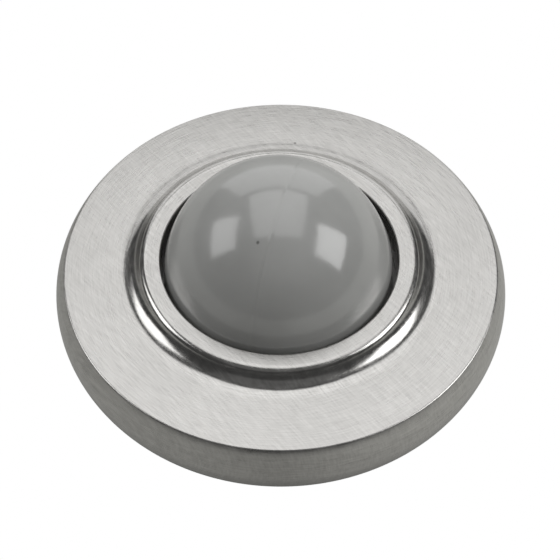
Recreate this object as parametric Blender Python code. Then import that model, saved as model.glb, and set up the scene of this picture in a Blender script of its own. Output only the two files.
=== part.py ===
"""Round convex door stop: a turned rose around a captive rubber bumper, on a concealed mounting plate.

Everything is in metres. The back plane, which lies against the wall or floor, is z = 0. The bumper points
along +Z, and the fixing screws and their anchors go into the wall, below z = 0.
"""

from math import asin, atan2, cos, degrees, pi, radians, sin, tau

import bmesh
import bpy
from mathutils import Matrix, Vector

MM = 0.001
GAP = 0.3 * MM  # running gap between pieces that touch on the real object

# Rose: the visible metal body
ROSE_RADIUS = 31.75 * MM
FLANGE_TOP = 8.67 * MM
EDGE_FILLET = 0.8 * MM
WALL_INNER_RADIUS = 29.0 * MM
WEB_UNDERSIDE = 6.5 * MM
SHOULDER_START = 23.1 * MM
SHOULDER_RADIUS = 1.8 * MM
COVE_RADIUS = 1.4 * MM
COLLAR_RADIUS = 19.76 * MM
COLLAR_TOP = 11.4 * MM
COLLAR_EDGE = 0.3 * MM
BORE_RADIUS = 17.05 * MM
BORE_BEVEL = 0.45 * MM

# Bosses under the rose, and the screws that hold the retaining plate to them
FIXINGS = 3
BOSS_CIRCLE = 23.4 * MM
BOSS_RADIUS = 2.5 * MM
BOSS_HOLE_TOP = 7.3 * MM
SMALL_SCREW_RADIUS = 1.25 * MM
SMALL_HEAD_RADIUS = 2.25 * MM
SMALL_SCREW_TIP = 7.0 * MM
SMALL_SCREW_ANGLE = 30.0  # degrees, of the first of the three

# Bumper
DOME_RADIUS = 15.95 * MM
DOME_CENTRE = 9.4 * MM
DOME_TOP = 25.4 * MM
BUMPER_FLANGE_RADIUS = 20.6 * MM
BUMPER_FLANGE_TOP = WEB_UNDERSIDE - GAP
BUMPER_BOTTOM = 4.0 * MM
CAVITY_RADIUS = 10.5 * MM

# Retaining plate
RETAINER_BOTTOM = 2.3 * MM
RETAINER_TOP = BUMPER_BOTTOM - GAP
RETAINER_RADIUS = 27.0 * MM
RETAINER_VENT_RADIUS = 5.0 * MM

# Mounting plate
PLATE_THICKNESS = RETAINER_BOTTOM - GAP
PLATE_RADIUS = WALL_INNER_RADIUS - GAP
RIM_INNER_RADIUS = 27.4 * MM
RIM_TOP = WEB_UNDERSIDE - GAP
RIM_GROOVE_DEPTH = 0.5 * MM
RIM_GROOVE_HALF_WIDTH = 0.7 * MM

# Wall screws and their anchors
WALL_SCREW_CIRCLE = 15.0 * MM
WALL_SCREW_ANGLE = 90.0
WALL_SCREW_RADIUS = 1.9 * MM
WALL_HEAD_RADIUS = 3.5 * MM
WALL_HEAD_TOP = PLATE_THICKNESS - 0.05 * MM
WALL_SCREW_TIP = -23.0 * MM
WALL_SCREW_TAPER = 4.0 * MM
ANCHOR_RADIUS = 2.85 * MM
ANCHOR_RIB_RADIUS = 3.2 * MM
ANCHOR_RIBS = 5
ANCHOR_RIB_PITCH = 3.2 * MM
ANCHOR_FIRST_RIB = -5.0 * MM
ANCHOR_MOUTH_RADIUS = 3.4 * MM
ANCHOR_TOP = -GAP
ANCHOR_BOTTOM = -25.3 * MM
ANCHOR_BORE_BOTTOM = -23.7 * MM
ANCHOR_SLIT_WIDTH = 0.8 * MM
ANCHOR_SLIT_SPAN = (-21.5 * MM, -8.0 * MM)

# Set screw in the rose's side wall
SET_SCREW_HEIGHT = 4.0 * MM
SET_SCREW_RADIUS = 1.7 * MM
SET_SCREW_OUTER_END = 31.3 * MM
SET_SCREW_TIP = PLATE_RADIUS - 0.15 * MM
SET_SCREW_CONE = 1.1 * MM
SET_SCREW_TIP_RADIUS = 0.35 * MM
HEX_ACROSS_FLATS = 2.0 * MM
HEX_DEPTH = 1.3 * MM

CLEARANCE = 0.4 * MM  # around a screw's countersunk head, measured across its axis
SEGMENTS = {"rose": 48, "bumper": 40, "plate": 48, "screw": 16, "anchor": 16, "hole": 16}


def clear_scene():
    for old in list(bpy.data.objects):
        bpy.data.objects.remove(old, do_unlink=True)


def make_material(name, colour, roughness, metallic=0.0):
    material = bpy.data.materials.new(name)
    material.use_nodes = True
    shader = material.node_tree.nodes["Principled BSDF"]
    shader.inputs["Base Color"].default_value = (*colour, 1.0)
    shader.inputs["Roughness"].default_value = roughness
    shader.inputs["Metallic"].default_value = metallic
    return material


def arc(centre, radius, start, end, steps):
    """Points (r, z) on an arc, from start to end in degrees, both ends included."""
    angles = (radians(start + (end - start) * i / steps) for i in range(steps + 1))
    return [(centre[0] + radius * cos(a), centre[1] + radius * sin(a)) for a in angles]


def place(mesh_object, material):
    bpy.context.scene.collection.objects.link(mesh_object)
    mesh_object.data.materials.append(material)
    return mesh_object


def new_object(name, bm):
    """An object from a bmesh, with its faces pointing out and only its real edges sharp."""
    bmesh.ops.recalc_face_normals(bm, faces=bm.faces)
    mesh = bpy.data.meshes.new(name)
    bm.to_mesh(mesh)
    bm.free()
    mesh.shade_smooth()
    mesh.set_sharp_from_angle(angle=radians(35))
    return bpy.data.objects.new(name, mesh)


def turned_bmesh(outline, segments):
    """A closed outline of (r, z) points, spun round the Z axis. Points at r = 0 meet in one vertex."""
    bm = bmesh.new()
    points = [bm.verts.new((r, 0.0, z)) for r, z in outline]
    edges = [bm.edges.new((points[i - 1], points[i])) for i in range(len(points))]
    bmesh.ops.spin(
        bm, geom=points + edges, cent=(0, 0, 0), axis=(0, 0, 1), angle=tau, steps=segments
    )
    bmesh.ops.remove_doubles(bm, verts=bm.verts, dist=1e-7)
    on_axis = [e for e in bm.edges if all(abs(v.co.x) + abs(v.co.y) < 1e-7 for v in e.verts)]
    bmesh.ops.delete(bm, geom=on_axis, context="EDGES")
    return bm


def turned(name, outline, segments):
    return new_object(name, turned_bmesh(outline, segments))


def turned_cutter(name, outline):
    """A turned cutter, set half a side round so that its corners miss the edges of what it cuts."""
    bm = turned_bmesh(outline, SEGMENTS["hole"])
    half_a_side = Matrix.Rotation(pi / SEGMENTS["hole"], 3, "Z")
    bmesh.ops.rotate(bm, cent=(0, 0, 0), matrix=half_a_side, verts=bm.verts)
    return new_object(name, bm)


def prism(name, corners, low, high, low_scale=1.0):
    """A flat outline of (x, y) corners, extruded from z = low to z = high and scaled at its low end."""
    bm = bmesh.new()
    rings = [
        [bm.verts.new((x * scale, y * scale, z)) for x, y in corners]
        for z, scale in ((low, low_scale), (high, 1.0))
    ]
    bm.faces.new(reversed(rings[0]))
    bm.faces.new(rings[1])
    bmesh.ops.bridge_loops(
        bm, edges=[e for e in bm.edges if len({v.co.z for v in e.verts}) == 1]
    )
    return new_object(name, bm)


def around(radius, first_angle, count=FIXINGS):
    """Evenly spaced places on a circle in the XY plane."""
    angles = (radians(first_angle) + tau * i / count for i in range(count))
    return [Vector((radius * cos(a), radius * sin(a), 0.0)) for a in angles]


def combine(target, tool, operation="DIFFERENCE"):
    """Cuts the tool out of the target, or joins it on. The tool stays in the scene as a hidden guide."""
    if tool.name not in bpy.context.scene.collection.objects:
        bpy.context.scene.collection.objects.link(tool)
    tool.hide_render = True
    tool.display_type = "WIRE"
    modifier = target.modifiers.new(tool.name, "BOOLEAN")
    modifier.operation = operation
    modifier.solver = "EXACT"
    modifier.object = tool


def groove_outline(steps):
    """From the flange's inner edge, over the soft shoulder and through the cove to the collar's wall."""
    reach = SHOULDER_START - COLLAR_RADIUS
    slope = degrees(asin((reach - COVE_RADIUS) / (SHOULDER_RADIUS + COVE_RADIUS)))
    shoulder = (SHOULDER_START, FLANGE_TOP - SHOULDER_RADIUS)
    cove = (
        COLLAR_RADIUS + COVE_RADIUS,
        shoulder[1] + (SHOULDER_RADIUS + COVE_RADIUS) * cos(radians(slope)),
    )
    return (
        arc(shoulder, SHOULDER_RADIUS, 90, 90 + slope, steps)
        + arc(cove, COVE_RADIUS, slope - 90, -180, steps)[1:]
    )


def rose_outline():
    fillet = (ROSE_RADIUS - EDGE_FILLET, FLANGE_TOP - EDGE_FILLET)
    return (
        [(WALL_INNER_RADIUS, 0.0), (ROSE_RADIUS, 0.0)]
        + arc(fillet, EDGE_FILLET, 0, 90, 3)
        + groove_outline(4)
        + [(COLLAR_RADIUS, COLLAR_TOP - COLLAR_EDGE), (COLLAR_RADIUS - COLLAR_EDGE, COLLAR_TOP)]
        + [(BORE_RADIUS + BORE_BEVEL, COLLAR_TOP), (BORE_RADIUS, COLLAR_TOP - BORE_BEVEL)]
        + [(BORE_RADIUS, WEB_UNDERSIDE), (WALL_INNER_RADIUS, WEB_UNDERSIDE)]
    )


def disc_outline(radius, low, high):
    return [(0.0, low), (radius, low), (radius, high), (0.0, high)]


def make_rose(material):
    rose = place(turned("rose", rose_outline(), SEGMENTS["rose"]), material)
    boss_top = WEB_UNDERSIDE + 0.5 * MM
    for number, spot in enumerate(around(BOSS_CIRCLE, SMALL_SCREW_ANGLE), 1):
        boss = turned(
            f"boss_{number}", disc_outline(BOSS_RADIUS, BUMPER_BOTTOM, boss_top), SEGMENTS["hole"]
        )
        boss.location = spot
        combine(rose, boss, "UNION")
    for number, spot in enumerate(around(BOSS_CIRCLE, SMALL_SCREW_ANGLE), 1):
        hole = turned_cutter(
            f"boss_hole_{number}", disc_outline(SMALL_SCREW_RADIUS + GAP, 0.0, BOSS_HOLE_TOP)
        )
        hole.location = spot
        combine(rose, hole)
    side_hole = turned_cutter(
        "set_screw_hole",
        disc_outline(SET_SCREW_RADIUS + GAP, WALL_INNER_RADIUS - MM, ROSE_RADIUS + MM),
    )
    lay_on_side(side_hole)
    combine(rose, side_hole)
    return rose


def lay_on_side(piece):
    """Turns a piece made along +Z to lie along +Y, at the set screw's height."""
    piece.rotation_euler = (-pi / 2, 0.0, 0.0)
    piece.location = (0.0, 0.0, SET_SCREW_HEIGHT)


def bumper_outline():
    """The dome and its flange outside, and the domed hollow inside, open at the bottom."""
    steps = 12
    rise = DOME_TOP - DOME_CENTRE
    quarter = [pi / 2 * i / steps for i in range(steps + 1)]
    outside = [(DOME_RADIUS * cos(a), DOME_CENTRE + rise * sin(a)) for a in quarter[:-1]]
    flange_edge = 0.4 * MM
    return (
        [(CAVITY_RADIUS, BUMPER_BOTTOM), (BUMPER_FLANGE_RADIUS, BUMPER_BOTTOM)]
        + [(BUMPER_FLANGE_RADIUS, BUMPER_FLANGE_TOP - flange_edge)]
        + [(BUMPER_FLANGE_RADIUS - flange_edge, BUMPER_FLANGE_TOP)]
        + [(DOME_RADIUS, BUMPER_FLANGE_TOP)]
        + outside
        + [(0.0, DOME_TOP), (0.0, DOME_CENTRE + CAVITY_RADIUS)]
        + arc((0.0, DOME_CENTRE), CAVITY_RADIUS, 90, 0, 7)[1:]
    )


def make_bumper(material):
    return place(turned("rubber_bumper", bumper_outline(), SEGMENTS["bumper"]), material)


def countersink_cutter(name, hole_radius, head_radius, face, down):
    """A through hole with a 45 degree countersink, sunk from the face at height face along down (+1 or -1)."""
    reach = 4.0 * MM
    outline = [
        (0.0, face - down * reach),
        (head_radius + reach, face - down * reach),
        (hole_radius, face + down * (head_radius - hole_radius)),
        (hole_radius, face + down * reach),
        (0.0, face + down * reach),
    ]
    return turned_cutter(name, outline)


def make_retaining_plate(material):
    outline = [
        (RETAINER_VENT_RADIUS, RETAINER_BOTTOM),
        (RETAINER_RADIUS, RETAINER_BOTTOM),
        (RETAINER_RADIUS, RETAINER_TOP),
        (RETAINER_VENT_RADIUS, RETAINER_TOP),
    ]
    plate = place(turned("retaining_plate", outline, SEGMENTS["plate"]), material)
    for number, spot in enumerate(around(BOSS_CIRCLE, SMALL_SCREW_ANGLE), 1):
        cutter = countersink_cutter(
            f"retainer_hole_{number}",
            SMALL_SCREW_RADIUS + GAP,
            SMALL_HEAD_RADIUS + CLEARANCE,
            RETAINER_BOTTOM,
            1,
        )
        cutter.location = spot
        combine(plate, cutter)
    return plate


def make_mounting_plate(material):
    groove = RIM_GROOVE_HALF_WIDTH
    outline = [
        (0.0, 0.0),
        (PLATE_RADIUS, 0.0),
        (PLATE_RADIUS, SET_SCREW_HEIGHT - groove),
        (PLATE_RADIUS - RIM_GROOVE_DEPTH, SET_SCREW_HEIGHT),
        (PLATE_RADIUS, SET_SCREW_HEIGHT + groove),
        (PLATE_RADIUS, RIM_TOP),
        (RIM_INNER_RADIUS, RIM_TOP),
        (RIM_INNER_RADIUS, PLATE_THICKNESS),
        (0.0, PLATE_THICKNESS),
    ]
    plate = place(turned("mounting_plate", outline, SEGMENTS["plate"]), material)
    for number, spot in enumerate(around(WALL_SCREW_CIRCLE, WALL_SCREW_ANGLE), 1):
        cutter = countersink_cutter(
            f"plate_hole_{number}",
            WALL_SCREW_RADIUS + GAP,
            WALL_HEAD_RADIUS + CLEARANCE,
            PLATE_THICKNESS,
            -1,
        )
        cutter.location = spot
        combine(plate, cutter)
    return plate


def cross_recess(name, arm, width, floor, top):
    """A tapered plus-shaped cutter for a cross recess. It narrows from top to floor."""
    a, w = arm, width / 2
    corners = [(a, -w), (a, w), (w, w), (w, a), (-w, a), (-w, w)]
    corners += [(-x, -y) for x, y in corners]
    return prism(name, corners, floor, top, low_scale=0.55)


def countersunk_screw(name, head_radius, radius, length, taper, tip_radius, material):
    """A screw along -Z with its flat head's face at z = 0, and a cross recess."""
    head = head_radius - radius
    outline = [
        (0.0, 0.0),
        (0.0, -length),
        (tip_radius, -length),
        (radius, -length + taper),
        (radius, -head),
        (head_radius, -0.15 * MM),
        (head_radius, 0.0),
    ]
    if tip_radius == 0.0:
        outline.pop(2)
    screw = place(turned(name, outline, SEGMENTS["screw"]), material)
    depth = 0.75 * head
    cutter = cross_recess(f"{name}_recess", 0.55 * head_radius, 0.3 * head_radius, -depth, MM)
    cutter.parent = screw
    combine(screw, cutter)
    return screw


def make_retaining_screws(material):
    length = SMALL_SCREW_TIP - RETAINER_BOTTOM
    for number, spot in enumerate(around(BOSS_CIRCLE, SMALL_SCREW_ANGLE), 1):
        screw = countersunk_screw(
            f"retaining_screw_{number}",
            SMALL_HEAD_RADIUS,
            SMALL_SCREW_RADIUS,
            length,
            0.4 * MM,
            0.85 * MM,
            material,
        )
        screw.location = spot + Vector((0.0, 0.0, RETAINER_BOTTOM))
        screw.rotation_euler = (pi, 0.0, 0.0)


def make_wall_screws(material):
    length = WALL_HEAD_TOP - WALL_SCREW_TIP
    for number, spot in enumerate(around(WALL_SCREW_CIRCLE, WALL_SCREW_ANGLE), 1):
        screw = countersunk_screw(
            f"wall_screw_{number}",
            WALL_HEAD_RADIUS,
            WALL_SCREW_RADIUS,
            length,
            WALL_SCREW_TAPER,
            0.0,
            material,
        )
        screw.location = spot + Vector((0.0, 0.0, WALL_HEAD_TOP))


def anchor_outline():
    """A plug with a blind bore, a collar at its mouth and saw-tooth ribs that point back out of the wall."""
    bore = WALL_SCREW_RADIUS + GAP
    outline = [
        (bore, ANCHOR_TOP),
        (bore, ANCHOR_BORE_BOTTOM),
        (0.0, ANCHOR_BORE_BOTTOM - 0.4 * MM),
        (0.0, ANCHOR_BOTTOM),
        (0.7 * ANCHOR_RADIUS, ANCHOR_BOTTOM),
        (ANCHOR_RADIUS, ANCHOR_BOTTOM + 2.0 * MM),
    ]
    for rib in reversed(range(ANCHOR_RIBS)):
        crest = ANCHOR_FIRST_RIB - rib * ANCHOR_RIB_PITCH
        outline += [
            (ANCHOR_RADIUS, crest - 0.6 * ANCHOR_RIB_PITCH),
            (ANCHOR_RIB_RADIUS, crest - 0.15 * MM),
            (ANCHOR_RADIUS, crest),
        ]
    mouth = ANCHOR_TOP - 0.6 * MM
    return outline + [
        (ANCHOR_RADIUS, mouth - 0.4 * MM),
        (ANCHOR_MOUTH_RADIUS, mouth),
        (ANCHOR_MOUTH_RADIUS, ANCHOR_TOP),
    ]


def make_anchors(material):
    half = ANCHOR_SLIT_WIDTH / 2
    reach = 2 * ANCHOR_RADIUS
    slot = [(-reach, -half), (reach, -half), (reach, half), (-reach, half)]
    for number, spot in enumerate(around(WALL_SCREW_CIRCLE, WALL_SCREW_ANGLE), 1):
        anchor = turned(f"wall_anchor_{number}", anchor_outline(), SEGMENTS["anchor"])
        place(anchor, material)
        slit = prism(f"wall_anchor_slit_{number}", slot, *ANCHOR_SLIT_SPAN)
        slit.parent = anchor
        combine(anchor, slit)
        anchor.location = spot
        anchor.rotation_euler = (0.0, 0.0, atan2(spot.y, spot.x))


def make_set_screw(material):
    outline = [
        (0.0, SET_SCREW_TIP),
        (SET_SCREW_TIP_RADIUS, SET_SCREW_TIP),
        (SET_SCREW_RADIUS, SET_SCREW_TIP + SET_SCREW_CONE),
        (SET_SCREW_RADIUS, SET_SCREW_OUTER_END),
        (0.0, SET_SCREW_OUTER_END),
    ]
    screw = place(turned("set_screw", outline, SEGMENTS["screw"]), material)
    corner = HEX_ACROSS_FLATS / 2 / cos(pi / 6)
    hexagon = [(corner * cos(tau * i / 6), corner * sin(tau * i / 6)) for i in range(6)]
    floor = SET_SCREW_OUTER_END - HEX_DEPTH
    socket = prism("set_screw_socket", hexagon, floor, SET_SCREW_OUTER_END + MM)
    socket.parent = screw
    combine(screw, socket)
    lay_on_side(screw)


def main():
    clear_scene()
    nickel = make_material("satin_nickel", (0.62, 0.60, 0.57), 0.3, 1.0)
    rubber = make_material("grey_rubber", (0.16, 0.16, 0.15), 0.4)
    steel = make_material("cold_rolled_steel", (0.45, 0.45, 0.46), 0.45, 1.0)
    zinc = make_material("zinc_plate", (0.58, 0.60, 0.62), 0.35, 1.0)
    black_steel = make_material("black_oxide_steel", (0.05, 0.05, 0.05), 0.4, 1.0)
    nylon = make_material("grey_nylon", (0.42, 0.43, 0.44), 0.5)
    make_rose(nickel)
    make_bumper(rubber)
    make_retaining_plate(steel)
    make_retaining_screws(zinc)
    make_mounting_plate(zinc)
    make_wall_screws(zinc)
    make_anchors(nylon)
    make_set_screw(black_steel)


main()
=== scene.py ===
"""Looks of the round convex door stop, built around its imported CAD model. Sizes are in metres."""

from math import acos, asin, cos, degrees, pi, radians, sin, tau

import bmesh
import bpy
from mathutils import Matrix, Vector


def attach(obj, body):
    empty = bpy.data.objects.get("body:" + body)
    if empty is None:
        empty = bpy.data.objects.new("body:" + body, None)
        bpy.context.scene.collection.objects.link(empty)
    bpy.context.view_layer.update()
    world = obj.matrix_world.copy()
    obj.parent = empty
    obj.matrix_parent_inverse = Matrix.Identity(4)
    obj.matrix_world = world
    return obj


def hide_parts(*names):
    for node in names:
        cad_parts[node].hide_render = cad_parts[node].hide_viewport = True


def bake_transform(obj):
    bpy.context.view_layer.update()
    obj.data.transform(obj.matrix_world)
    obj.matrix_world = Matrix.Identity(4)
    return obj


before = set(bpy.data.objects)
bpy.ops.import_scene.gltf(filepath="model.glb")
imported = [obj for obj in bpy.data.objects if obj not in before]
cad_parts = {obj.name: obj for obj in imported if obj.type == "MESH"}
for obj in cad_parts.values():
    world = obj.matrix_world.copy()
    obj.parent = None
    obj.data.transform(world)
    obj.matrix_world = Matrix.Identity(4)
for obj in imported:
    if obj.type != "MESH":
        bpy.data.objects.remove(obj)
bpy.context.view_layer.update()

MM = 0.001

# Driving dimensions: the rose
ROSE_RADIUS = 31.75 * MM
BULGE_RADIUS = 8.2 * MM  # of the side wall's own curve
BULGE_HEIGHT = 4.5 * MM
FLANGE_TOP = 8.95 * MM
EDGE_FILLET = 0.4 * MM
CROWN_HEIGHT = 9.1 * MM  # the flange rises gently to this, where the cove starts
WALL_INNER_RADIUS = 29.0 * MM
WEB_UNDERSIDE = 5.6 * MM
COVE_RADIUS = 3.3 * MM  # sweeps the flange up to the collar
COLLAR_RADIUS = 18.65 * MM  # of its flat top
COLLAR_TOP = 11.45 * MM
COLLAR_EDGE = 1.2 * MM
BORE_RADIUS = 16.7 * MM
BORE_BEVEL = 0.22 * MM

# The bumper
DOME_RADIUS = 16.05 * MM
DOME_POWER = 1.8  # 2 would be an ellipse; less makes the dome a little pointed
DOME_CENTRE = 9.5 * MM
DOME_TOP = 25.4 * MM
BUMPER_BOTTOM = 3.4 * MM
BUMPER_FLANGE_RADIUS = 20.6 * MM
BUMPER_FLANGE_TOP = 5.3 * MM
CAVITY_RADIUS = 10.5 * MM
PARTING_LINE_ANGLE = 73.5  # degrees from +X, of the faint mould line across the dome
PARTING_LINE_OFFSET = 0.4 * MM
PARTING_LINE_WIDTH = 0.4 * MM
SPECK = (-3.1 * MM, -6.4 * MM)  # a dark inclusion in the rubber
SPECK_RADIUS = 0.3 * MM
BUMPER_SHIFT = Vector((-0.32, 0.25, 0.0)) * MM  # it sits a little off centre

# The turned middle of the rose runs a little out of true with its rim
MIDDLE_SHIFT = Vector((-0.2, 0.45, 0.0)) * MM
MIDDLE_REACH = (22.5 * MM, 28.5 * MM)

# Inner pieces. Heights are from the mounting face
GAP = 0.3 * MM
BOSS_CIRCLE = 23.7 * MM
FIRST_BOSS = 30  # degrees from +X, the others evenly after it
BOSS_RADIUS = 2.5 * MM
BOSS_HOLE_TOP = 7.3 * MM
SMALL_SCREW_RADIUS = 1.25 * MM
SMALL_HEAD_RADIUS = 2.25 * MM
SMALL_SCREW_LENGTH = 5.1 * MM
SMALL_THREAD = (1.3 * MM, 0.25 * MM, 0.5 * MM)  # end below the head's face, depth and pitch
RETAINER_BOTTOM = 1.9 * MM
RETAINER_TOP = 3.1 * MM
RETAINER_RADIUS = 27.0 * MM
VENT_RADIUS = 5.0 * MM
PLATE_THICKNESS = 1.6 * MM
PLATE_RADIUS = 28.7 * MM
RIM_INNER_RADIUS = 27.4 * MM
RIM_TOP = 5.3 * MM
RIM_NOTCH = (0.5 * MM, 0.7 * MM)  # depth and half width of the ring that takes the set screw
WALL_SCREW_CIRCLE = 15.0 * MM
FIRST_WALL_SCREW = 90
WALL_SCREW_RADIUS = 1.9 * MM
WALL_HEAD_RADIUS = 3.5 * MM
WALL_HEAD_TOP = 1.55 * MM
WALL_SCREW_LENGTH = 24.55 * MM
WALL_THREAD = (4.5 * MM, 0.5 * MM, 1.4 * MM)
ANCHOR_RADIUS = 2.85 * MM
ANCHOR_RIB_RADIUS = 3.2 * MM
ANCHOR_RIBS = 5
ANCHOR_FIRST_RIB = -5.0 * MM
ANCHOR_RIB_PITCH = 3.2 * MM
ANCHOR_MOUTH_RADIUS = 3.4 * MM
ANCHOR_BOTTOM = -25.3 * MM
ANCHOR_BORE_BOTTOM = -23.7 * MM
ANCHOR_SLIT_SPAN = (-21.5 * MM, -8.0 * MM)
ANCHOR_SLIT_WIDTH = 0.8 * MM
SET_SCREW_HEIGHT = 3.3 * MM
SET_SCREW_RADIUS = 1.7 * MM
SET_SCREW_SPAN = (28.55 * MM, 31.3 * MM)
SET_SCREW_CONE = 1.1 * MM
SET_SCREW_THREAD = (0.25 * MM, 0.5 * MM)  # depth and pitch
HEX_ACROSS_FLATS = 2.0 * MM
HEX_DEPTH = 1.3 * MM
CLEARANCE = 0.4 * MM  # around a countersunk head

FINE = 256  # sides of the large round pieces
SHARP = 35  # degrees, above which an edge isn't smoothed
# Keeps a cutter's corners off the edges of what it cuts
OFF_GRID = Matrix.Rotation(radians(2.3), 4, "Z")

# Camera, at the photographed angle
CAMERA_ELEVATION = radians(52.97)
CAMERA_ROLL = radians(-0.115)
CAMERA_DISTANCE = 0.42845
CAMERA_LENS = 192.86
CAMERA_AIM = Vector((-0.00011, 0.00318, 0.00240))

LIGHTS_AIM = Vector((0.0, 0.0, 0.01))

# Colours
NICKEL_DARK = (0.40, 0.394, 0.382, 1.0)
NICKEL_LIGHT = (0.62, 0.611, 0.594, 1.0)
NICK = (0.12, 0.115, 0.11, 1.0)
RUBBER_DARK = (0.385, 0.387, 0.377, 1.0)
RUBBER_LIGHT = (0.415, 0.417, 0.407, 1.0)
INCLUSION = (0.08, 0.08, 0.075, 1.0)
NYLON_DARK = (0.38, 0.39, 0.40, 1.0)
NYLON_LIGHT = (0.45, 0.46, 0.47, 1.0)
RELIEF = 0.02 * MM  # height of the finest surface relief
SURROUNDINGS = (0.07, 0.07, 0.07)  # what the metal mirrors where there is no light


# ---------------------------------------------------------------- meshes

def arc(centre, radius, start, end, steps):
    """Points (r, z) on an arc, from start to end in degrees, both ends included."""
    angles = (radians(start + (end - start) * i / steps) for i in range(steps + 1))
    return [(centre[0] + radius * cos(a), centre[1] + radius * sin(a)) for a in angles]


def object_from(name, bm):
    bmesh.ops.recalc_face_normals(bm, faces=bm.faces)
    mesh = bpy.data.meshes.new(name)
    bm.to_mesh(mesh)
    bm.free()
    mesh.shade_smooth()
    mesh.set_sharp_from_angle(angle=radians(SHARP))
    piece = bpy.data.objects.new(name, mesh)
    bpy.context.scene.collection.objects.link(piece)
    return piece


def turned(name, outline, segments=FINE):
    """A closed outline of (r, z) points, spun round the Z axis. Points at r = 0 meet in one vertex."""
    bm = bmesh.new()
    points = [bm.verts.new((r, 0.0, z)) for r, z in outline]
    edges = [bm.edges.new((points[i - 1], points[i])) for i in range(len(points))]
    bmesh.ops.spin(
        bm, geom=points + edges, cent=(0, 0, 0), axis=(0, 0, 1), angle=tau, steps=segments
    )
    bmesh.ops.remove_doubles(bm, verts=bm.verts, dist=2e-6)
    on_axis = [e for e in bm.edges if all(abs(v.co.x) + abs(v.co.y) < 1e-7 for v in e.verts)]
    bmesh.ops.delete(bm, geom=on_axis, context="EDGES")
    return object_from(name, bm)


def disc_outline(radius, low, high):
    return [(0.0, low), (radius, low), (radius, high), (0.0, high)]


def prism(name, corners, low, high, low_scale=1.0):
    """A straight or tapered bar along Z with these corners."""
    bm = bmesh.new()
    rings = [
        [bm.verts.new((x * scale, y * scale, z)) for x, y in corners]
        for z, scale in ((low, low_scale), (high, 1.0))
    ]
    for i in range(len(corners)):
        bm.faces.new((rings[0][i - 1], rings[0][i], rings[1][i], rings[1][i - 1]))
    for ring in rings:
        bm.faces.new(ring)
    return object_from(name, bm)


def threaded(name, outline, span, depth, pitch, sides=40):
    """A rod round Z from (r, z) points, bottom to top, threaded between the heights in span."""
    def radius_at(z):
        for (r0, z0), (r1, z1) in zip(outline, outline[1:]):
            if z <= z1:
                return r0 + (r1 - r0) * (z - z0) / (z1 - z0)
        return outline[-1][0]

    rows = round((span[1] - span[0]) / pitch * 8)
    thread = [span[0] + (span[1] - span[0]) * i / rows for i in range(rows + 1)]
    heights = sorted(thread + [z for r, z in outline if not span[0] - 1e-6 < z < span[1] + 1e-6])
    bm = bmesh.new()
    rings = []
    for z in heights:
        ring = []
        for side in range(sides):
            phase = (z / pitch - side / sides) % 1.0
            fade = max(0.0, min(1.0, (z - span[0]) / pitch, (span[1] - z) / pitch))
            radius = radius_at(z) - min(depth, 0.5 * radius_at(z)) * fade * abs(2 * phase - 1)
            turn = tau * side / sides
            ring.append(bm.verts.new((radius * cos(turn), radius * sin(turn), z)))
        rings.append(ring)
    for lower, upper in zip(rings, rings[1:]):
        for i in range(sides):
            bm.faces.new((lower[i - 1], lower[i], upper[i], upper[i - 1]))
    for ring in (rings[0], rings[-1]):
        bm.faces.new(ring)
    return object_from(name, bm)


def carve(piece, tools, operation="DIFFERENCE"):
    """Applies a Boolean with each tool in turn, and removes the tools."""
    for tool in tools:
        modifier = piece.modifiers.new("carve", "BOOLEAN")
        modifier.object = tool
        modifier.operation = operation
        modifier.solver = "EXACT"
        graph = bpy.context.evaluated_depsgraph_get()
        result = bpy.data.meshes.new_from_object(piece.evaluated_get(graph))
        piece.modifiers.clear()
        old, piece.data = piece.data, result
        bpy.data.meshes.remove(old)
        bpy.data.objects.remove(tool, do_unlink=True)
    piece.data.shade_smooth()
    piece.data.set_sharp_from_angle(angle=radians(SHARP))
    piece.data.name = piece.name


def moved(piece, matrix):
    piece.data.transform(matrix)
    return piece


def spots(radius, first_angle):
    """Three places, evenly round a circle."""
    turns = (radians(first_angle + 120 * i) for i in range(3))
    return [Vector((radius * cos(a), radius * sin(a), 0.0)) for a in turns]


def settle(piece, node):
    """The piece stands for a node of the fixed body."""
    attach(piece, "mount")
    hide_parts(node)
    return piece


# ---------------------------------------------------------------- the rose

def cove_outline(steps):
    """From the flange's inner edge, up the cove and over the collar's rounded edge, smooth throughout."""
    turns = COVE_RADIUS + COLLAR_EDGE
    flank = acos(1 - (COLLAR_TOP - CROWN_HEIGHT) / turns)
    cove = (COLLAR_RADIUS + turns * sin(flank), CROWN_HEIGHT + COVE_RADIUS)
    edge = (COLLAR_RADIUS, COLLAR_TOP - COLLAR_EDGE)
    return (
        arc(cove, COVE_RADIUS, -90, -90 - degrees(flank), steps)
        + arc(edge, COLLAR_EDGE, 90 - degrees(flank), 90, steps)[1:]
    )


def wall_outline(steps):
    """The barrel-shaped side, from the foot up, and the small fillet onto the flange."""
    centre = (ROSE_RADIUS - BULGE_RADIUS, BULGE_HEIGHT)
    foot = degrees(asin(BULGE_HEIGHT / BULGE_RADIUS))
    fillet_reach = BULGE_RADIUS - EDGE_FILLET
    head = degrees(asin((FLANGE_TOP - EDGE_FILLET - BULGE_HEIGHT) / fillet_reach))
    fillet = (
        centre[0] + fillet_reach * cos(radians(head)),
        centre[1] + fillet_reach * sin(radians(head)),
    )
    return (
        arc(centre, BULGE_RADIUS, -foot, head, 2 * steps)
        + arc(fillet, EDGE_FILLET, head, 90, steps)[1:]
    )


def crown_outline(steps):
    """The flange, which rises gently from its outer edge and is level where the cove starts."""
    outer = wall_outline(1)[-1][0]
    width = outer - cove_outline(1)[0][0]
    inward = [i / steps for i in range(1, steps)]
    return [
        (outer - width * t, FLANGE_TOP + (CROWN_HEIGHT - FLANGE_TOP) * (1 - (1 - t) ** 2))
        for t in inward
    ]


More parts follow.
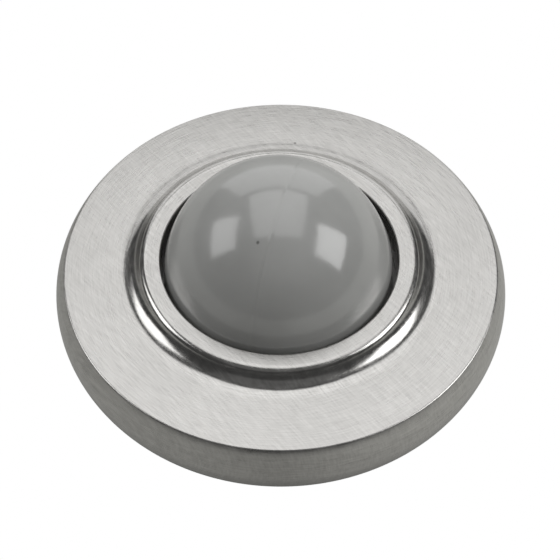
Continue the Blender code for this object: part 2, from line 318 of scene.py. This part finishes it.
def rose_outline():
    bore_edge = (BORE_RADIUS + BORE_BEVEL, COLLAR_TOP - BORE_BEVEL)
    support = 0.05 * MM  # a loop this close beside each rounded edge keeps the flats flat
    return (
        [(WALL_INNER_RADIUS, 0.0)]
        + wall_outline(12)
        + crown_outline(10)
        + cove_outline(16)
        + [(COLLAR_RADIUS - support, COLLAR_TOP), (bore_edge[0] + support, COLLAR_TOP)]
        + arc(bore_edge, BORE_BEVEL, 90, 180, 4)
        + [(BORE_RADIUS, bore_edge[1] - support), (BORE_RADIUS, WEB_UNDERSIDE)]
        + [(WALL_INNER_RADIUS, WEB_UNDERSIDE)]
    )


def on_side():
    """From a piece made along +Z to one along +Y, at the set screw's height."""
    return Matrix.Translation((0.0, 0.0, SET_SCREW_HEIGHT)) @ Matrix.Rotation(-pi / 2, 4, "X")


def make_rose():
    rose = turned("rose_body", rose_outline())
    places = [Matrix.Translation(spot) for spot in spots(BOSS_CIRCLE, FIRST_BOSS)]
    boss = disc_outline(BOSS_RADIUS, BUMPER_BOTTOM, WEB_UNDERSIDE + 0.5 * MM)
    hole = disc_outline(SMALL_SCREW_RADIUS + GAP, 0.0, BOSS_HOLE_TOP)
    side_hole = disc_outline(SET_SCREW_RADIUS + GAP, WALL_INNER_RADIUS - MM, ROSE_RADIUS + MM)
    carve(rose, [moved(turned("boss", boss, 48), place) for place in places], "UNION")
    carve(rose, [moved(turned("boss_hole", hole, 40), place @ OFF_GRID) for place in places])
    carve(rose, [moved(turned("set_screw_hole", side_hole, 48), on_side() @ OFF_GRID)])
    for vertex in rose.data.vertices:
        radius = vertex.co.xy.length
        share = (MIDDLE_REACH[1] - radius) / (MIDDLE_REACH[1] - MIDDLE_REACH[0])
        vertex.co += MIDDLE_SHIFT * max(0.0, min(1.0, share))
    return settle(rose, "rose")


# ---------------------------------------------------------------- the bumper

def bumper_outline():
    """A slightly pointed dome and its flange outside, and the domed hollow inside, open at the bottom."""
    steps = 40
    rise = DOME_TOP - DOME_CENTRE
    heights = [sin(pi / 2 * i / steps) for i in range(steps)]
    outside = [(DOME_RADIUS * (1 - h**DOME_POWER) ** 0.5, DOME_CENTRE + rise * h) for h in heights]
    flange_edge = 0.5 * MM
    flange_corner = (BUMPER_FLANGE_RADIUS - flange_edge, BUMPER_FLANGE_TOP - flange_edge)
    root = 0.2 * MM
    return (
        [(CAVITY_RADIUS, BUMPER_BOTTOM), (BUMPER_FLANGE_RADIUS, BUMPER_BOTTOM)]
        + arc(flange_corner, flange_edge, 0, 90, 5)
        + arc((DOME_RADIUS + root, BUMPER_FLANGE_TOP + root), root, 270, 180, 4)
        + outside
        + [(0.0, DOME_TOP), (0.0, DOME_CENTRE + CAVITY_RADIUS)]
        + arc((0.0, DOME_CENTRE), CAVITY_RADIUS, 90, 0, 20)[1:]
    )


def make_bumper():
    bumper = turned("bumper_dome", bumper_outline(), 192)
    bumper.data.transform(Matrix.Translation(BUMPER_SHIFT))
    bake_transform(bumper)
    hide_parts("rubber_bumper")
    return bumper


# ---------------------------------------------------------------- the inner pieces

def countersink(hole_radius, head_radius, face, down):
    """A cutter for a hole with a 45 degree countersink, from the height face along down (+1 or -1)."""
    reach = 4.0 * MM
    outline = [
        (0.0, face - down * reach),
        (head_radius + reach, face - down * reach),
        (hole_radius, face + down * (head_radius - hole_radius)),
        (hole_radius, face + down * reach),
        (0.0, face + down * reach),
    ]
    return turned("countersink", outline, 64)


def drilled(plate, circle, first_angle, radius, head, face, down):
    for spot in spots(circle, first_angle):
        hole = countersink(radius + GAP, head + CLEARANCE, face, down)
        carve(plate, [moved(hole, Matrix.Translation(spot) @ OFF_GRID)])


def softened(corners, edge):
    """The corners of a square-cut ring section, each replaced by a small chamfer."""
    out = []
    for i, (r, z) in enumerate(corners):
        for near in (corners[i - 1], corners[(i + 1) % len(corners)]):
            away = Vector((near[0] - r, near[1] - z)).normalized() * edge
            out.append((r + away.x, z + away.y))
    return out


def make_retaining_plate():
    corners = [
        (VENT_RADIUS, RETAINER_BOTTOM),
        (RETAINER_RADIUS, RETAINER_BOTTOM),
        (RETAINER_RADIUS, RETAINER_TOP),
        (VENT_RADIUS, RETAINER_TOP),
    ]
    plate = turned("retaining_disc", softened(corners, 0.12 * MM), 192)
    drilled(plate, BOSS_CIRCLE, FIRST_BOSS, SMALL_SCREW_RADIUS, SMALL_HEAD_RADIUS, RETAINER_BOTTOM, 1)
    return settle(plate, "retaining_plate")


def make_mounting_plate():
    depth, half = RIM_NOTCH
    edge = 0.15 * MM
    outline = [
        (0.0, 0.0),
        (PLATE_RADIUS - edge, 0.0),
        (PLATE_RADIUS, edge),
        (PLATE_RADIUS, SET_SCREW_HEIGHT - half),
        (PLATE_RADIUS - depth, SET_SCREW_HEIGHT),
        (PLATE_RADIUS, SET_SCREW_HEIGHT + half),
        (PLATE_RADIUS, RIM_TOP - edge),
        (PLATE_RADIUS - edge, RIM_TOP),
        (RIM_INNER_RADIUS + edge, RIM_TOP),
        (RIM_INNER_RADIUS, RIM_TOP - edge),
        (RIM_INNER_RADIUS, PLATE_THICKNESS),
        (0.0, PLATE_THICKNESS),
    ]
    plate = turned("mounting_dish", outline, 192)
    head = WALL_HEAD_RADIUS
    drilled(plate, WALL_SCREW_CIRCLE, FIRST_WALL_SCREW, WALL_SCREW_RADIUS, head, PLATE_THICKNESS, -1)
    return settle(plate, "mounting_plate")


def cross_recess(arm, width, floor, top):
    """A tapered plus-shaped cutter for a cross recess. It narrows from top to floor."""
    a, w = arm, width / 2
    corners = [(a, -w), (a, w), (w, w), (w, a), (-w, a), (-w, w)]
    corners += [(-x, -y) for x, y in corners]
    return prism("recess", corners, floor, top, low_scale=0.55)


def countersunk_screw(name, head_radius, radius, length, taper, tip_radius, thread):
    """A screw along -Z, with its flat head's face at z = 0, a cross recess and a thread."""
    head = head_radius - radius
    outline = [
        (tip_radius, -length),
        (radius, -length + taper),
        (radius, -head),
        (head_radius, -0.15 * MM),
        (head_radius, -0.06 * MM),
        (head_radius - 0.06 * MM, 0.0),
    ]
    end, depth, pitch = thread
    screw = threaded(name, outline, (-length + 0.02 * MM, -end), depth, pitch)
    carve(screw, [cross_recess(0.55 * head_radius, 0.3 * head_radius, -0.75 * head, MM)])
    return screw


def make_screws():
    made = []
    for number, spot in enumerate(spots(BOSS_CIRCLE, FIRST_BOSS), 1):
        screw = countersunk_screw(
            f"small_screw_{number}",
            SMALL_HEAD_RADIUS,
            SMALL_SCREW_RADIUS,
            SMALL_SCREW_LENGTH,
            0.4 * MM,
            0.85 * MM,
            SMALL_THREAD,
        )
        lift = Matrix.Translation(spot + Vector((0.0, 0.0, RETAINER_BOTTOM)))
        up = lift @ Matrix.Rotation(pi, 4, "X")
        made.append(settle(moved(screw, up), f"retaining_screw_{number}"))
    for number, spot in enumerate(spots(WALL_SCREW_CIRCLE, FIRST_WALL_SCREW), 1):
        screw = countersunk_screw(
            f"long_screw_{number}",
            WALL_HEAD_RADIUS,
            WALL_SCREW_RADIUS,
            WALL_SCREW_LENGTH,
            4.0 * MM,
            0.15 * MM,
            WALL_THREAD,
        )
        down = Matrix.Translation(spot + Vector((0.0, 0.0, WALL_HEAD_TOP)))
        made.append(settle(moved(screw, down), f"wall_screw_{number}"))
    return made


def anchor_outline():
    """A plug with a blind bore, a collar at its mouth and ribs that point back out of the wall."""
    bore = WALL_SCREW_RADIUS + GAP
    outline = [
        (bore + 0.15 * MM, -GAP),
        (bore, -GAP - 0.3 * MM),
        (bore, ANCHOR_BORE_BOTTOM),
        (0.0, ANCHOR_BORE_BOTTOM - 0.4 * MM),
        (0.0, ANCHOR_BOTTOM),
        (0.7 * ANCHOR_RADIUS, ANCHOR_BOTTOM),
        (ANCHOR_RADIUS, ANCHOR_BOTTOM + 2.0 * MM),
    ]
    for rib in reversed(range(ANCHOR_RIBS)):
        crest = ANCHOR_FIRST_RIB - rib * ANCHOR_RIB_PITCH
        outline += [
            (ANCHOR_RADIUS, crest - 0.6 * ANCHOR_RIB_PITCH),
            (ANCHOR_RIB_RADIUS, crest - 0.15 * MM),
            (ANCHOR_RADIUS, crest),
        ]
    mouth = -GAP - 0.6 * MM
    return outline + [
        (ANCHOR_RADIUS, mouth - 0.4 * MM),
        (ANCHOR_MOUTH_RADIUS, mouth),
        (ANCHOR_MOUTH_RADIUS, -GAP - 0.1 * MM),
        (ANCHOR_MOUTH_RADIUS - 0.1 * MM, -GAP),
    ]


def make_anchors():
    reach, half = 2 * ANCHOR_RADIUS, ANCHOR_SLIT_WIDTH / 2
    slot = [(-reach, -half), (reach, -half), (reach, half), (-reach, half)]
    made = []
    for number, spot in enumerate(spots(WALL_SCREW_CIRCLE, FIRST_WALL_SCREW), 1):
        anchor = turned(f"plug_{number}", anchor_outline(), 48)
        carve(anchor, [prism("slit", slot, *ANCHOR_SLIT_SPAN)])
        turn = Matrix.Rotation(radians(FIRST_WALL_SCREW + 120 * (number - 1)), 4, "Z")
        moved(anchor, Matrix.Translation(spot) @ turn)
        made.append(settle(anchor, f"wall_anchor_{number}"))
    return made


def make_set_screw():
    tip, end = SET_SCREW_SPAN
    outline = [
        (0.35 * MM, tip),
        (SET_SCREW_RADIUS, tip + SET_SCREW_CONE),
        (SET_SCREW_RADIUS, end - 0.12 * MM),
        (SET_SCREW_RADIUS - 0.12 * MM, end),
    ]
    screw = threaded("grub_screw", outline, (tip + 0.7 * MM, end - 0.05 * MM), *SET_SCREW_THREAD)
    corner = HEX_ACROSS_FLATS / 2 / cos(pi / 6)
    hexagon = [(corner * cos(tau * i / 6), corner * sin(tau * i / 6)) for i in range(6)]
    carve(screw, [prism("socket", hexagon, end - HEX_DEPTH, end + MM)])
    return settle(moved(screw, on_side()), "set_screw")


# ---------------------------------------------------------------- materials

class Nodes:
    """Short forms for building a node tree."""

    def __init__(self, material):
        material.use_nodes = True
        self.tree = material.node_tree
        self.shader = next(n for n in self.tree.nodes if n.type == "BSDF_PRINCIPLED")

    def new(self, kind, **settings):
        node = self.tree.nodes.new(kind)
        for key, value in settings.items():
            setattr(node, key, value)
        return node

    def link(self, source, target):
        self.tree.links.new(source, target)

    def put(self, socket, value):
        """A number, a vector or another node's output, into a socket."""
        if isinstance(value, bpy.types.NodeSocket):
            self.link(value, socket)
        else:
            socket.default_value = value

    def math(self, operation, *values):
        node = self.new("ShaderNodeMath", operation=operation)
        for socket, value in zip(node.inputs, values):
            self.put(socket, value)
        return node.outputs[0]

    def noise(self, vector, scale, detail=2.0, roughness=0.5):
        node = self.new("ShaderNodeTexNoise")
        self.put(node.inputs["Vector"], vector)
        node.inputs["Scale"].default_value = scale
        node.inputs["Detail"].default_value = detail
        node.inputs["Roughness"].default_value = roughness
        return node.outputs["Fac"]

    def remap(self, value, low, high, to_low, to_high):
        node = self.new("ShaderNodeMapRange")
        for socket, number in zip(node.inputs, (value, low, high, to_low, to_high)):
            self.put(socket, number)
        return node.outputs["Result"]

    def combine(self, x, y, z):
        node = self.new("ShaderNodeCombineXYZ")
        for socket, value in zip(node.inputs, (x, y, z)):
            self.put(socket, value)
        return node.outputs[0]

    def mix(self, factor, first, second):
        node = self.new("ShaderNodeMix", data_type="RGBA")
        self.put(node.inputs["Factor"], factor)
        self.put(node.inputs["A"], first)
        self.put(node.inputs["B"], second)
        return node.outputs["Result"]

    def bump(self, height, strength, distance):
        node = self.new("ShaderNodeBump")
        node.inputs["Strength"].default_value = strength
        node.inputs["Distance"].default_value = distance
        self.link(height, node.inputs["Height"])
        return node.outputs["Normal"]

    def place(self):
        """The shaded point, and its x, y and z, in the piece's own coordinates."""
        point = self.new("ShaderNodeTexCoord").outputs["Object"]
        split = self.new("ShaderNodeSeparateXYZ")
        self.link(point, split.inputs[0])
        return point, *split.outputs

    def distance(self, x, y):
        """The length of (x, y)."""
        squares = (self.math("MULTIPLY", side, side) for side in (x, y))
        return self.math("SQRT", self.math("ADD", *squares))


def satin_nickel():
    """Satin nickel: circular brushing on the flats and the side, and a smoother, polished cove."""
    material = bpy.data.materials.new("satin_nickel")
    n = Nodes(material)
    point, x, y, z = n.place()
    radius = n.distance(x, y)
    off_axis = n.math("MAXIMUM", radius, 1e-6)
    inner = n.remap(radius, COLLAR_RADIUS, COLLAR_RADIUS + 0.4 * MM, 0.0, 1.0)
    cove_start = cove_outline(1)[0][0]
    outer = n.remap(radius, cove_start - 1.2 * MM, cove_start - 0.2 * MM, 1.0, 0.0)
    cove = n.math("MULTIPLY", inner, outer)
    turns = n.combine(
        n.math("MULTIPLY", n.math("DIVIDE", x, off_axis), 9.0),
        n.math("MULTIPLY", n.math("DIVIDE", y, off_axis), 9.0),
        n.math("MULTIPLY", n.math("ADD", radius, z), 5200.0),
    )
    brushing = n.noise(turns, 1.0, detail=3.0, roughness=0.6)
    cross = n.combine(
        n.math("ADD", n.math("MULTIPLY", x, 3400.0), n.math("MULTIPLY", y, 2900.0)),
        n.math("ADD", n.math("MULTIPLY", x, 220.0), n.math("MULTIPLY", y, -260.0)),
        n.math("MULTIPLY", z, 900.0),
    )
    strokes = n.noise(cross, 1.0, detail=2.0)
    cloud = n.noise(point, 90.0, detail=3.0)
    rough = n.remap(brushing, 0.3, 0.7, 0.24, 0.37)
    rough = n.math("ADD", rough, n.remap(cloud, 0.3, 0.7, -0.02, 0.03))
    rough_cove = n.remap(brushing, 0.3, 0.7, 0.15, 0.24)
    mixed = n.new("ShaderNodeMix", data_type="FLOAT")
    n.put(mixed.inputs["Factor"], cove)
    n.put(mixed.inputs["A"], rough)
    n.put(mixed.inputs["B"], rough_cove)
    n.link(mixed.outputs["Result"], n.shader.inputs["Roughness"])
    shade = n.math("ADD", n.math("MULTIPLY", brushing, 0.6), n.math("MULTIPLY", strokes, 0.4))
    colour = n.mix(n.remap(shade, 0.3, 0.7, 0.0, 1.0), NICKEL_DARK, NICKEL_LIGHT)
    cells = n.new("ShaderNodeTexVoronoi")
    n.put(cells.inputs["Vector"], point)
    cells.inputs["Scale"].default_value = 260.0
    nick = n.remap(cells.outputs["Distance"], 0.03, 0.06, 1.0, 0.0)
    rare = n.remap(n.noise(cells.outputs["Position"], 900.0), 0.60, 0.62, 0.0, 0.7)
    nick = n.math("MULTIPLY", nick, rare)
    n.put(n.shader.inputs["Base Color"], n.mix(nick, colour, NICK))
    n.shader.inputs["Metallic"].default_value = 1.0
    n.shader.inputs["Anisotropic"].default_value = 0.45
    tangent = n.new("ShaderNodeTangent", direction_type="RADIAL", axis="Z")
    n.link(tangent.outputs[0], n.shader.inputs["Tangent"])
    n.link(n.bump(shade, 0.22, RELIEF), n.shader.inputs["Normal"])
    return material


def grey_rubber():
    """Moulded grey rubber with a soft gloss, a very fine skin, a mould line and one dark inclusion."""
    material = bpy.data.materials.new("grey_rubber")
    n = Nodes(material)
    point, x, y, z = n.place()
    cloud = n.noise(point, 140.0, detail=4.0)
    skin = n.noise(point, 4200.0, detail=2.0)
    rubber = n.mix(n.remap(cloud, 0.35, 0.65, 0.0, 1.0), RUBBER_DARK, RUBBER_LIGHT)
    away = n.distance(n.math("SUBTRACT", x, SPECK[0]), n.math("SUBTRACT", y, SPECK[1]))
    speck = n.remap(away, 0.3 * SPECK_RADIUS, SPECK_RADIUS, 0.8, 0.0)
    n.put(n.shader.inputs["Base Color"], n.mix(speck, rubber, INCLUSION))
    n.put(n.shader.inputs["Roughness"], n.remap(cloud, 0.3, 0.7, 0.12, 0.18))
    turn = radians(PARTING_LINE_ANGLE)
    across = n.math("SUBTRACT", n.math("MULTIPLY", x, sin(turn)), n.math("MULTIPLY", y, cos(turn)))
    across = n.math("ABSOLUTE", n.math("SUBTRACT", across, PARTING_LINE_OFFSET))
    ridge = n.remap(across, 0.0, PARTING_LINE_WIDTH, 2.5, 0.0)
    n.shader.inputs["IOR"].default_value = 1.7
    relief = n.math("ADD", n.math("MULTIPLY", skin, 0.05), ridge)
    n.link(n.bump(relief, 1.0, RELIEF), n.shader.inputs["Normal"])
    return material


def plain_metal(name, colour, roughness, grain):
    """A plated or rolled metal with fine grain and slight patches."""
    material = bpy.data.materials.new(name)
    n = Nodes(material)
    point, x, y, z = n.place()
    cloud = n.noise(point, 260.0, detail=3.0)
    fine = n.noise(n.combine(n.math("MULTIPLY", x, 0.5), y, z), grain, detail=3.0)
    dark = tuple(0.86 * c for c in colour)
    n.put(n.shader.inputs["Base Color"], n.mix(cloud, (*dark, 1.0), (*colour, 1.0)))
    rough = n.remap(fine, 0.3, 0.7, roughness - 0.06, roughness + 0.08)
    n.put(n.shader.inputs["Roughness"], rough)
    n.shader.inputs["Metallic"].default_value = 1.0
    n.link(n.bump(fine, 0.04, RELIEF), n.shader.inputs["Normal"])
    return material


def moulded_nylon():
    """Grey nylon with slight patches and a fine moulded skin."""
    material = bpy.data.materials.new("grey_nylon")
    n = Nodes(material)
    point = n.place()[0]
    cloud = n.noise(point, 300.0, detail=3.0)
    skin = n.noise(point, 5000.0, detail=2.0)
    n.put(n.shader.inputs["Base Color"], n.mix(cloud, NYLON_DARK, NYLON_LIGHT))
    n.put(n.shader.inputs["Roughness"], n.remap(cloud, 0.3, 0.7, 0.42, 0.55))
    n.shader.inputs["Subsurface Weight"].default_value = 0.05
    n.link(n.bump(skin, 0.08, RELIEF), n.shader.inputs["Normal"])
    return material


def dress(piece, material):
    piece.data.materials.clear()
    piece.data.materials.append(material)


# ---------------------------------------------------------------- studio

def area_light(name, place, size, radiance, roll=0.0):
    """A white softbox, aimed at the object, that shows in reflections but not to the camera."""
    light = bpy.data.lights.new(name, "AREA")
    light.shape = "RECTANGLE"
    light.size, light.size_y = size
    light.energy = radiance * pi * size[0] * size[1]
    box = bpy.data.objects.new(name, light)
    box.location = place
    facing = (LIGHTS_AIM - Vector(place)).to_track_quat("-Z", "Y").to_matrix()
    box.rotation_euler = (facing @ Matrix.Rotation(roll, 3, "Z")).to_euler()
    box.visible_camera = False
    bpy.context.scene.collection.objects.link(box)


def seen_white(tree, mirrored):
    """Plain white to the camera, and a dimmer grey in reflections, as in a cut-out product shot."""
    path = tree.nodes.new("ShaderNodeLightPath")
    mix = tree.nodes.new("ShaderNodeMix")
    mix.data_type = "RGBA"
    tree.links.new(path.outputs["Is Camera Ray"], mix.inputs["Factor"])
    if isinstance(mirrored, bpy.types.NodeSocket):
        tree.links.new(mirrored, mix.inputs["A"])
    else:
        mix.inputs["A"].default_value = mirrored
    mix.inputs["B"].default_value = (1.0, 1.0, 1.0, 1.0)
    return mix.outputs["Result"]


def make_floor():
    """A pale floor: plain white to the camera and glowing grey in reflections, with painted light
    brighter to the right and a painted shadow next to the object.
    """
    bm = bmesh.new()
    bmesh.ops.create_grid(bm, x_segments=1, y_segments=1, size=3.0)
    floor = object_from("floor", bm)
    material = bpy.data.materials.new("floor")
    n = Nodes(material)
    point, x, y, z = n.place()
    # Painted light: the floor's glow seen in reflections is brighter towards the right, and a little
    # towards the left
    right = n.remap(x, 0.0, 35 * MM, 0.0, 0.22)
    left = n.remap(x, 0.0, -35 * MM, 0.0, 0.10)
    lit = n.math("ADD", n.math("ADD", right, left), 0.30)
    # Painted shadow: the glow dims next to the rose's foot, where the floor would be shaded
    near = n.remap(n.distance(x, y), ROSE_RADIUS - 1.25 * MM, ROSE_RADIUS + 1.75 * MM, 0.55, 1.0)
    grey = n.math("MULTIPLY", lit, near)
    warm = n.combine(grey, grey, n.math("MULTIPLY", grey, 0.96))
    glow = n.new("ShaderNodeEmission")
    n.link(seen_white(n.tree, warm), glow.inputs["Color"])
    output = next(node for node in n.tree.nodes if node.type == "OUTPUT_MATERIAL")
    n.link(glow.outputs[0], output.inputs["Surface"])
    n.tree.nodes.remove(n.shader)
    dress(floor, material)


def make_studio():
    make_floor()
    world = bpy.data.worlds.new("studio")
    world.use_nodes = True
    background = world.node_tree.nodes["Background"]
    world.node_tree.links.new(
        seen_white(world.node_tree, (*SURROUNDINGS, 1.0)), background.inputs["Color"]
    )
    bpy.context.scene.world = world
    area_light("overhead", (0.0, 0.335, 1.045), (1.08, 1.15), 1.32)
    area_light("back", (0.0, 1.05, 0.37), (1.4, 0.80), 1.0)
    area_light("front", (0.0, -0.72, 0.93), (1.4, 0.80), 0.09)
    area_light("left", (-0.72, 0.10, 0.50), (0.50, 0.42), 2.4, roll=radians(-8))
    area_light("right", (0.72, -0.06, 0.51), (0.50, 0.48), 3.6, roll=radians(6))


def make_camera():
    camera = bpy.data.objects.new("camera", bpy.data.cameras.new("camera"))
    camera.data.lens = CAMERA_LENS
    camera.data.sensor_width = 36.0
    camera.data.clip_start = 0.01
    forward = Vector((0.0, cos(CAMERA_ELEVATION), -sin(CAMERA_ELEVATION)))
    camera.location = CAMERA_AIM - forward * CAMERA_DISTANCE
    upright = forward.to_track_quat("-Z", "Y").to_matrix()
    roll = Matrix.Rotation(CAMERA_ROLL, 3, -forward)
    camera.rotation_euler = (roll @ upright).to_euler()
    bpy.context.scene.collection.objects.link(camera)
    bpy.context.scene.camera = camera


def main():
    bpy.context.scene.view_settings.view_transform = "Standard"
    make_camera()
    dress(make_rose(), satin_nickel())
    dress(make_bumper(), grey_rubber())
    dress(make_retaining_plate(), plain_metal("plain_steel", (0.45, 0.45, 0.46), 0.42, 2500.0))
    zinc = plain_metal("zinc_plate", (0.62, 0.64, 0.66), 0.3, 2200.0)
    for piece in [make_mounting_plate()] + make_screws():
        dress(piece, zinc)
    nylon = moulded_nylon()
    for piece in make_anchors():
        dress(piece, nylon)
    dress(make_set_screw(), plain_metal("black_steel", (0.06, 0.06, 0.062), 0.38, 3000.0))
    make_studio()


main()
